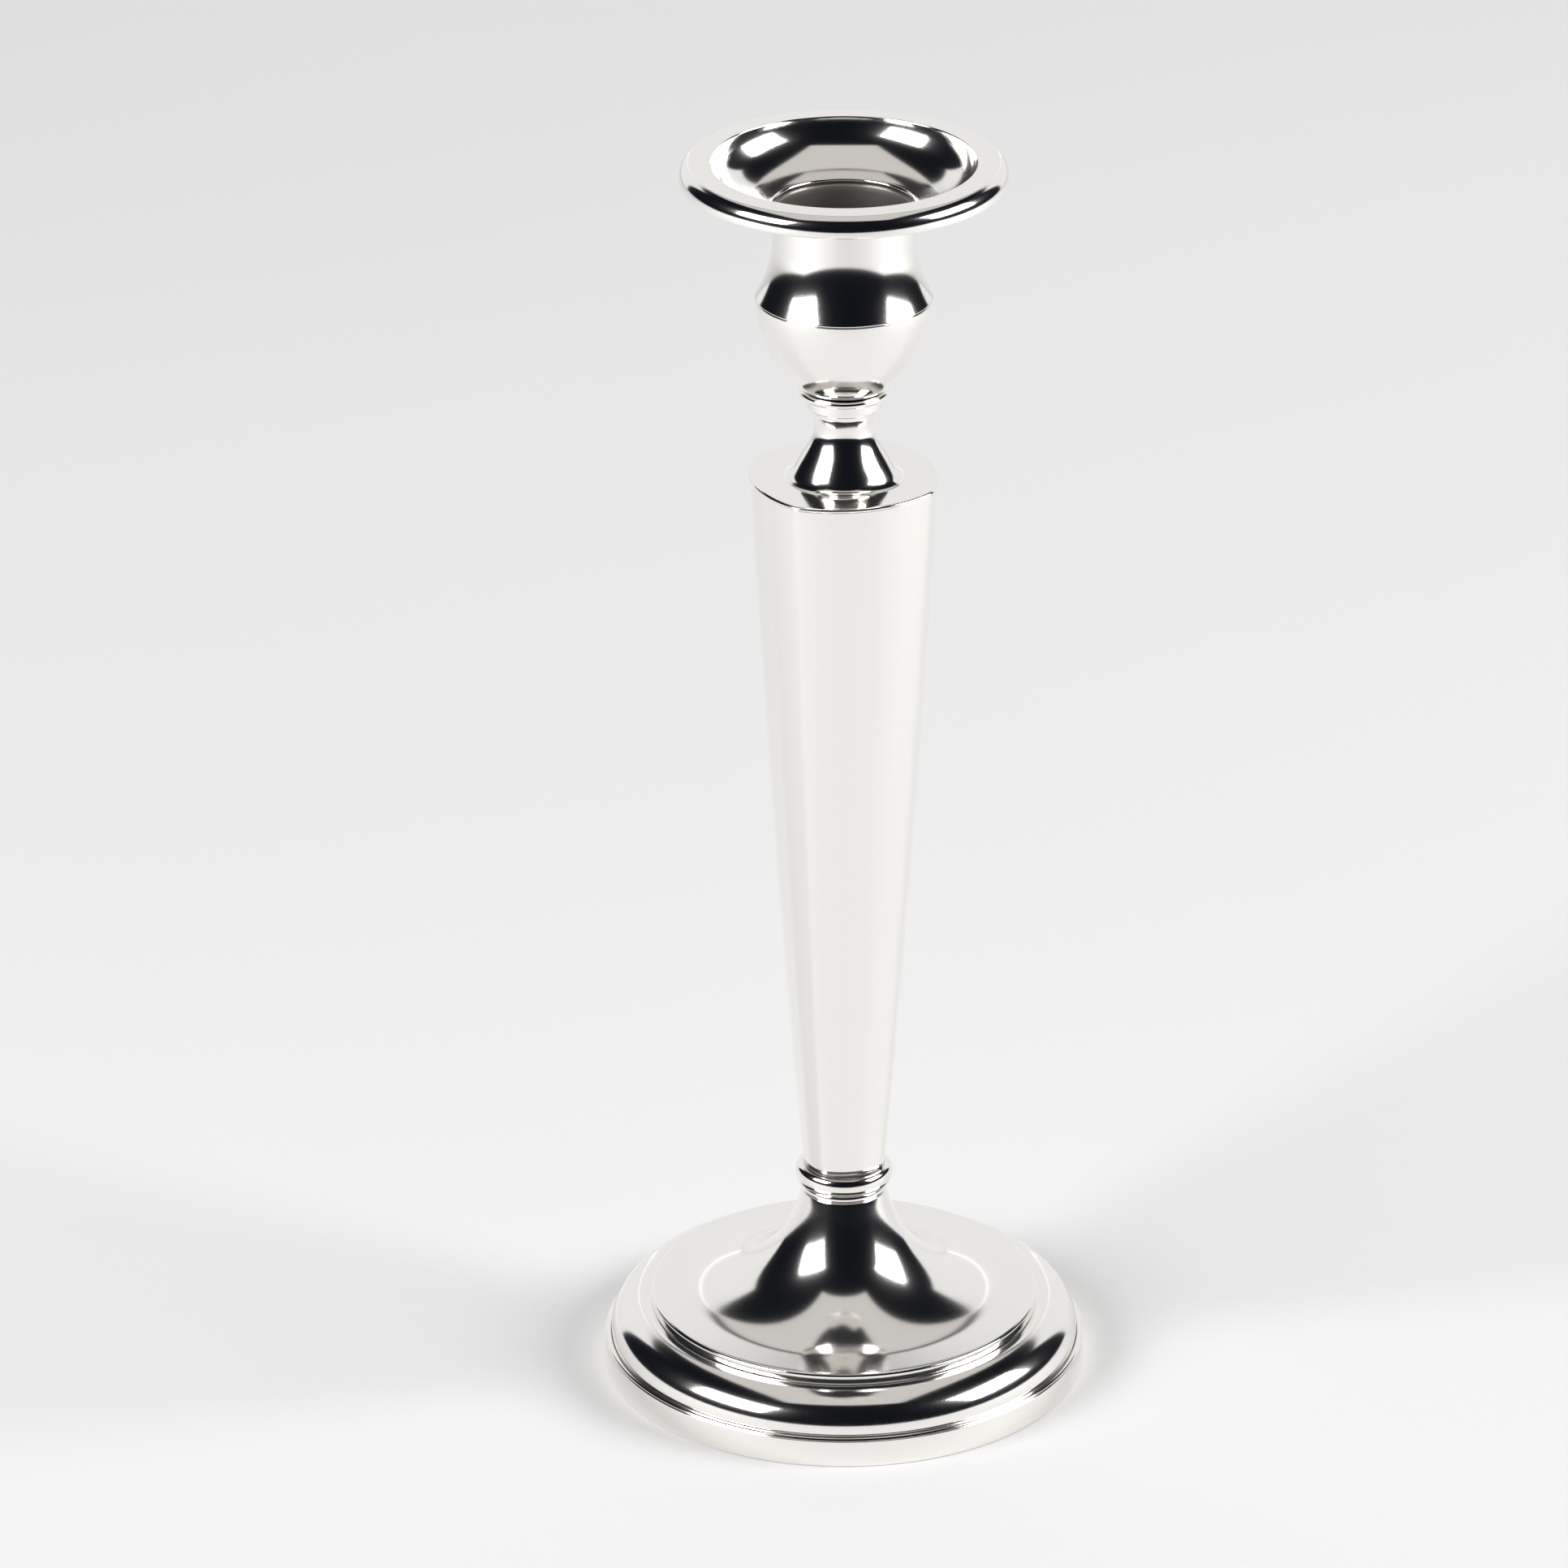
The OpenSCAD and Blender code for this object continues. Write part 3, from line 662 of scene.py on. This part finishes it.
class CANDLESTICK_OT_column(PieceOperator, bpy.types.Operator):
    """Folds the four-sided tapering column from sheet"""
    bl_idname = "candlestick.column"
    bl_label = "Column"

    def make(self, s):
        foot_z, top_z, top_half = COLUMN[LOW].z, COLUMN[HIGH].z, COLUMN[HIGH].x
        rise = top_z - foot_z
        face_steps, corner_steps, rows = 52, 6, 130
        crowding = 1.5  # Rows lie closer together towards the top
        corner_reach, corner_painted_reflection, seam_tarnish_and_shade = 1.058, 0.3, 0.8
        bm = bmesh.new()
        start = corner_start(1, s.column_corner, s.column_face)
        turns = [start * (i / (face_steps / 2) - 1) for i in range(face_steps)]
        turns += [start + (math.pi / 2 - 2 * start) * i / corner_steps for i in range(corner_steps)]
        verts = []
        for side in range(4):
            for turn in turns:
                reach = s.column_foot * square_reach(turn, 1, s.column_corner, s.column_face)
                turn += side * math.pi / 2
                verts.append(bm.verts.new((reach * math.cos(turn), reach * math.sin(turn), foot_z)))
        edges = [bm.edges.new(pair) for pair in zip(verts, verts[1:] + verts[:1])]
        shares = [1 - (1 - i / rows) ** crowding for i in range(rows + 1)]
        for below, above in zip(shares, shares[1:]):
            before, now = column_half(s, below), column_half(s, above)
            grown = bmesh.ops.extrude_edge_only(bm, edges=edges)["geom"]
            verts = [g for g in grown if isinstance(g, bmesh.types.BMVert)]
            edges = [g for g in grown if isinstance(g, bmesh.types.BMEdge)]
            bmesh.ops.translate(bm, vec=(0, 0, rise * (above - below)), verts=verts)
            bmesh.ops.scale(bm, vec=(now / before, now / before, 1), verts=verts)
        bmesh.ops.recalc_face_normals(bm, faces=bm.faces)
        wavy(bm, depth=0.02 * MM, size=11 * MM, seed=4)
        for turn, drop, radius, depth in KNOCKS:
            place = bearing(math.radians(turn), top_half, top_z - drop * MM)
            dent(bm, place, radius * MM, bearing(math.radians(turn), -depth * MM, 0))
        bmesh.ops.solidify(bm, geom=bm.faces, thickness=s.sheet_t)
        bmesh.ops.recalc_face_normals(bm, faces=bm.faces)
        # Tarnish and painted shade at the top and foot seams, and a painted dark reflection line along
        # the corners
        store_tarnish_and_shade(bm, lambda r, z: near(0, z, [(0, top_z, 0.3 * MM), (0, foot_z, 0.4 * MM)]) * seam_tarnish_and_shade)
        layer = bm.verts.layers.float["tarnish_and_shade"]
        for v in bm.verts:
            half = column_half(s, (v.co.z - foot_z) / rise)
            if math.hypot(v.co.x, v.co.y) > half * corner_reach:
                v[layer] = max(v[layer], corner_painted_reflection)
        folded_silver = material_of("silver_sheet", silver, False)
        finished("folded_column", bm, folded_silver, "silver_sheet", "column_shell")


class CANDLESTICK_OT_column_ring(PieceOperator, bpy.types.Operator):
    """Turns the beaded ring under the column"""
    bl_idname = "candlestick.column_ring"
    bl_label = "Column Ring"

    def make(self, s):
        foot_z, top_z, ring_r = RING[LOW].z, RING[HIGH].z, RING[HIGH].x
        bead = s.ring_bead_h / 2
        step = (top_z - foot_z - s.ring_bead_h) / 2
        foot_in, bulge_in, bulge_w = 0.2 * MM, 0.1 * MM, 0.45 * MM
        outline = joined(
            [(s.rod_hole_r, foot_z), (s.stem_r - foot_in, foot_z)],
            arc((s.stem_r - bulge_in, foot_z + step), bulge_w, step, -70, 70, 10),
            arc((ring_r - s.ring_nose, top_z - bead), s.ring_nose, bead, -75, 90, 28),
            [(s.rod_hole_r, top_z)])
        bm = spun(outline)
        store_tarnish_and_shade(bm, lambda r, z: near(r, z, [
            (s.stem_r, foot_z, 0.22 * MM), (s.stem_r, foot_z + 2 * step, 0.22 * MM),
            (s.column_foot, top_z, 0.35 * MM)]))
        finished("turned_ring", bm, material_of("silver_cast", silver), "silver_cast", "column_ring")


class CANDLESTICK_OT_foot_shell(PieceOperator, bpy.types.Operator):
    """Spins the trumpet and disc of the foot"""
    bl_idname = "candlestick.foot_shell"
    bl_label = "Foot Trumpet and Disc"

    def make(self, s):
        groove_z, ring_z, disc_r = FOOT[LOW].z, FOOT[HIGH].z, FOOT[HIGH].x
        disc_z = groove_z + s.disc_edge_h
        rise = ring_z - disc_z
        edge_r = s.disc_edge_r
        bend = (s.stem_r + 4.1 * MM, disc_z + rise * 0.478)
        margin = (disc_r - s.disc_flat, disc_z + s.disc_fall)
        path = joined(
            bezier((s.stem_r, ring_z), (s.stem_r + 0.9 * MM, ring_z - rise * 0.137),
                   (s.stem_r + 1.6 * MM, ring_z - rise * 0.324), bend, 48),
            bezier(bend, (bend[0] + 1.4 * MM, bend[1] - rise * 0.11),
                   (margin[0] * 0.673, margin[1] + 0.65 * MM), margin, 56),
            straight(margin, (disc_r - edge_r, disc_z), 10),
            arc((disc_r - edge_r, disc_z - edge_r), edge_r, edge_r, 90, 0, 8),
            straight((disc_r, disc_z - edge_r), (disc_r, groove_z), 3))
        bm = spun(sheet(path, s.sheet_t))
        wavy(bm, depth=0.015 * MM, size=12 * MM, seed=5)
        store_tarnish_and_shade(bm, lambda r, z: near(r, z, [
            (s.stem_r, ring_z, 0.2 * MM), (disc_r, groove_z, 0.5 * MM)]))
        finished("spun_foot", bm, material_of("silver_spun", silver), "silver_spun", "foot_shell")


class CANDLESTICK_OT_foot_moulding(PieceOperator, bpy.types.Operator):
    """Spins the quarter-round moulding and its sunk ledge"""
    bl_idname = "candlestick.foot_moulding"
    bl_label = "Foot Moulding"

    def make(self, s):
        foot_z, groove_z, outer = MOULDING[LOW].z, MOULDING[HIGH].z, MOULDING[HIGH].x
        inner = outer - s.ovolo_w
        disc_r = FOOT[HIGH].x
        lap = 2 * MM
        path = joined(
            straight((disc_r - lap, groove_z), (inner, groove_z), 6),
            arc((inner, groove_z - s.ovolo_h), s.ovolo_w, s.ovolo_h, 90, 0, 48),
            straight((outer, groove_z - s.ovolo_h), (outer, foot_z), 4))
        bm = spun(sheet(path, s.sheet_t))
        wavy(bm, depth=0.01 * MM, size=9 * MM, seed=6)
        store_tarnish_and_shade(bm, lambda r, z: near(r, z, [
            (disc_r, groove_z, 0.5 * MM), (outer, groove_z - s.ovolo_h, 0.25 * MM)]))
        finished("spun_moulding", bm, material_of("silver_spun", silver), "silver_spun", "foot_moulding")


class CANDLESTICK_OT_plinth_band(PieceOperator, bpy.types.Operator):
    """Turns the plinth band with the bead along its top"""
    bl_idname = "candlestick.plinth_band"
    bl_label = "Plinth Band"

    def make(self, s):
        outer, foot_z, top_z = PLINTH[HIGH].x, PLINTH[LOW].z, PLINTH[HIGH].z
        bead = s.plinth_bead_r
        inner = outer - s.plinth_t
        band_z = top_z - bead
        foot_r, top_r = 0.2 * MM, 0.15 * MM
        outline = joined(
            [(inner, foot_z), (outer - foot_r, foot_z)],
            arc((outer - foot_r, foot_z + foot_r), foot_r, foot_r, -90, 0, 5),
            straight((outer, foot_z + foot_r), (outer, band_z - top_r), 6),
            arc((outer - top_r, band_z - top_r), top_r, top_r, 0, 90, 4),
            arc((inner + bead, band_z), bead, bead, 0, 180, 14))
        bm = spun(outline)
        wavy(bm, depth=0.02 * MM, size=10 * MM, seed=7)
        store_tarnish_and_shade(bm, lambda r, z: near(r, z, [
            (inner + 2 * bead, band_z, 0.12 * MM), (inner, band_z, 0.3 * MM), (outer, foot_z, 0.3 * MM)]))
        finished("plinth_with_bead", bm, material_of("silver_cast", silver), "silver_cast", "plinth_band")


class CANDLESTICK_OT_felt_pad(PieceOperator, bpy.types.Operator):
    """Cuts the felt that the candlestick stands on"""
    bl_idname = "candlestick.felt_pad"
    bl_label = "Felt Pad"

    def make(self, s):
        outer, foot_z, top_z = FELT[HIGH].x, FELT[LOW].z, FELT[HIGH].z
        soft = 0.3 * MM
        outline = joined(
            [(AXIS_GAP, foot_z)], arc((outer - soft, foot_z + soft), soft, soft, -90, 0, 6),
            [(outer, top_z), (AXIS_GAP, top_z)])
        bm = spun(outline)
        finished("felt_disc", bm, material_of("felt", felted), "felt", "felt_pad")


class CANDLESTICK_OT_inner_parts(bpy.types.Operator):
    """Gives the loading, rod, nuts, washers, plate and card their materials"""
    bl_idname = "candlestick.inner_parts"
    bl_label = "Inner Parts"
    bl_options = {"REGISTER", "UNDO"}

    def execute(self, context):
        groups = {
            ("cement", cemented): ("cup_loading", "column_loading", "foot_loading"),
            ("steel", turned_steel): (
                "core_rod", "upper_nut", "upper_washer", "lower_nut", "lower_washer", "closing_plate"),
            ("card", pasteboard): ("backing_card",),
        }
        for (name, maker), nodes in groups.items():
            material = material_of(name, maker)
            for node in nodes:
                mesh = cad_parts[node].data
                for slot in range(max(len(mesh.materials), 1)):
                    if slot < len(mesh.materials):
                        mesh.materials[slot] = material
                    else:
                        mesh.materials.append(material)
        return {"FINISHED"}


# --------------------------------------------------------------------- stage

def soft_light(name, place, target, size, radiance, colour=(1, 1, 1)):
    """A rectangle of light that faces the target, where size is its width and height."""
    light = bpy.data.lights.new(name, "AREA")
    light.shape = "RECTANGLE"
    light.size, light.size_y = size
    light.energy = radiance * math.pi * size[0] * size[1]
    light.color = colour
    lamp = bpy.data.objects.new(name, light)
    lamp.location = place
    lamp.rotation_mode = "QUATERNION"
    lamp.rotation_quaternion = (Vector(target) - Vector(place)).to_track_quat("-Z", "Y")
    lamp.visible_camera = False
    bpy.context.scene.collection.objects.link(lamp)
    return lamp


def rectangle(side, front, back):
    """Corners of a rectangle on the floor, from -side to side across."""
    return [(-side, front, 0), (side, front, 0), (side, back, 0), (-side, back, 0)]


class CANDLESTICK_OT_stage(bpy.types.Operator):
    """Lays the pale floor and sets up the studio lights and the camera"""
    bl_idname = "candlestick.stage"
    bl_label = "Studio"
    bl_options = {"REGISTER", "UNDO"}

    def execute(self, context):
        stage = context.scene.candlestick_stage
        self.lay_floor(stage)
        self.hang_lights(stage)
        self.darken_room(context.scene, stage)
        self.set_camera(context.scene, stage)
        return {"FINISHED"}

    def lay_floor(self, stage):
        material, tree, place = blank("floor_paper")
        # Painted light: the floor's colour grows lighter towards the back, where less lamp light reaches
        # it, over a faint random tone
        depth = put(tree, "ShaderNodeSeparateXYZ", {"Vector": place}).outputs["Y"]
        tone = maths(tree, "MULTIPLY", between(tree, grain(tree, place, 0.5, 2), 0.3, 0.7, 0.985, 1),
                     between(tree, depth, -0.3, 1.3, 0.94, 1.13))
        colour = put(tree, "ShaderNodeVectorMath", {
            0: tuple(stage.floor_colour), 1: tone}, operation="MULTIPLY").outputs[0]
        shaded(tree, base_color=colour, roughness=0.7, specular_ior_level=0.2)
        # The silver reflects the paper alone. The apron round it only fills the camera's view.
        paper, apron = bmesh.new(), bmesh.new()
        corners = rectangle(FLOOR_SIDE, FLOOR_FRONT, FLOOR_BACK)
        paper.faces.new([paper.verts.new(p) for p in corners])
        inner = [apron.verts.new(p) for p in corners]
        outer = [apron.verts.new(p) for p in rectangle(APRON, -APRON, APRON)]
        for i in range(4):
            apron.faces.new((outer[i], outer[i - 3], inner[i - 3], inner[i]))
        for name, bm in (("floor", paper), ("floor_apron", apron)):
            bmesh.ops.recalc_face_normals(bm, faces=bm.faces)
            bmesh.ops.rotate(
                bm, cent=(0, 0, 0), verts=bm.verts, matrix=Matrix.Rotation(stage.camera_azimuth, 3, "Z"))
            mesh = bpy.data.meshes.new(name)
            bm.to_mesh(mesh)
            bm.free()
            mesh.materials.append(material)
            floor = bpy.data.objects.new(name, mesh)
            floor.visible_glossy = name == "floor"
            bpy.context.scene.collection.objects.link(floor)

    def hang_lights(self, stage):
        front = stage.camera_azimuth
        back = front + math.pi
        for name, turn in KEYS:
            place = bearing(front + math.radians(turn), *KEY_PLACE)
            soft_light(name, place, KEY_AIM, KEY_SIZE, stage.key_strength)
        panel = soft_light(
            "overhead_panel", bearing(back, *PANEL_PLACE), bearing(back, PANEL_PLACE[0], 0),
            PANEL_SIZE, stage.panel_strength, PANEL_TINT)
        panel.rotation_quaternion = Quaternion((0, 0, 1), front)
        for name, turn, (distance, height), size in SWEEP:
            place = bearing(back + math.radians(turn), distance, height)
            soft_light(name, place, (0, 0, height), size, stage.sweep_strength)

    def darken_room(self, scene, stage):
        world = bpy.data.worlds.new("room")
        world.use_nodes = True
        tree = world.node_tree
        tree.nodes.clear()
        seen = put(tree, "ShaderNodeLightPath").outputs["Is Camera Ray"]
        dark = put(tree, "ShaderNodeBackground", {"Color": rgba(stage.room_colour)})
        pale = put(tree, "ShaderNodeBackground", {"Color": rgba(BACKDROP)})
        mixed = put(tree, "ShaderNodeMixShader", {0: seen, 1: dark.outputs[0], 2: pale.outputs[0]})
        put(tree, "ShaderNodeOutputWorld", {"Surface": mixed.outputs[0]})
        scene.world = world
        scene.view_settings.view_transform = "Standard"

    def set_camera(self, scene, stage):
        data = bpy.data.cameras.new("camera")
        data.lens = stage.lens
        data.sensor_width = SENSOR_WIDTH
        camera = bpy.data.objects.new("camera", data)
        camera.location = bearing(stage.camera_azimuth, stage.camera_distance, stage.camera_height)
        heading = Quaternion((0, 0, 1), stage.camera_azimuth + stage.camera_yaw)
        tilt = Quaternion((1, 0, 0), math.pi / 2 - stage.camera_pitch)
        camera.rotation_mode = "QUATERNION"
        camera.rotation_quaternion = heading @ tilt @ Quaternion((0, 0, 1), stage.camera_roll)
        scene.collection.objects.link(camera)
        scene.camera = camera


class CANDLESTICK_PT_panel(bpy.types.Panel):
    """Lists the candlestick's pieces"""
    bl_idname = "CANDLESTICK_PT_panel"
    bl_label = "Candlestick"
    bl_space_type = "VIEW_3D"
    bl_region_type = "UI"
    bl_category = "Candlestick"

    def draw(self, context):
        for operator in OPERATORS:
            self.layout.operator(operator.bl_idname)


OPERATORS = (
    CANDLESTICK_OT_drip_pan, CANDLESTICK_OT_socket_liner, CANDLESTICK_OT_cup_bowl,
    CANDLESTICK_OT_cup_collar, CANDLESTICK_OT_shoulder_cap, CANDLESTICK_OT_column,
    CANDLESTICK_OT_column_ring, CANDLESTICK_OT_foot_shell, CANDLESTICK_OT_foot_moulding,
    CANDLESTICK_OT_plinth_band, CANDLESTICK_OT_felt_pad, CANDLESTICK_OT_inner_parts,
    CANDLESTICK_OT_stage,
)
GROUPS = {
    "candlestick_sizes": CandlestickSizes,
    "candlestick_finish": CandlestickFinish,
    "candlestick_stage": CandlestickStage,
}


def register():
    for kind in (*GROUPS.values(), *OPERATORS, CANDLESTICK_PT_panel):
        bpy.utils.register_class(kind)
    for name, group in GROUPS.items():
        setattr(bpy.types.Scene, name, bpy.props.PointerProperty(type=group))


def unregister():
    for name in GROUPS:
        delattr(bpy.types.Scene, name)
    for kind in (CANDLESTICK_PT_panel, *reversed(OPERATORS), *reversed(GROUPS.values())):
        bpy.utils.unregister_class(kind)


def main():
    register()
    for operator in OPERATORS:
        family, name = operator.bl_idname.split(".")
        getattr(getattr(bpy.ops, family), name)()


if __name__ == "__main__":
    main()
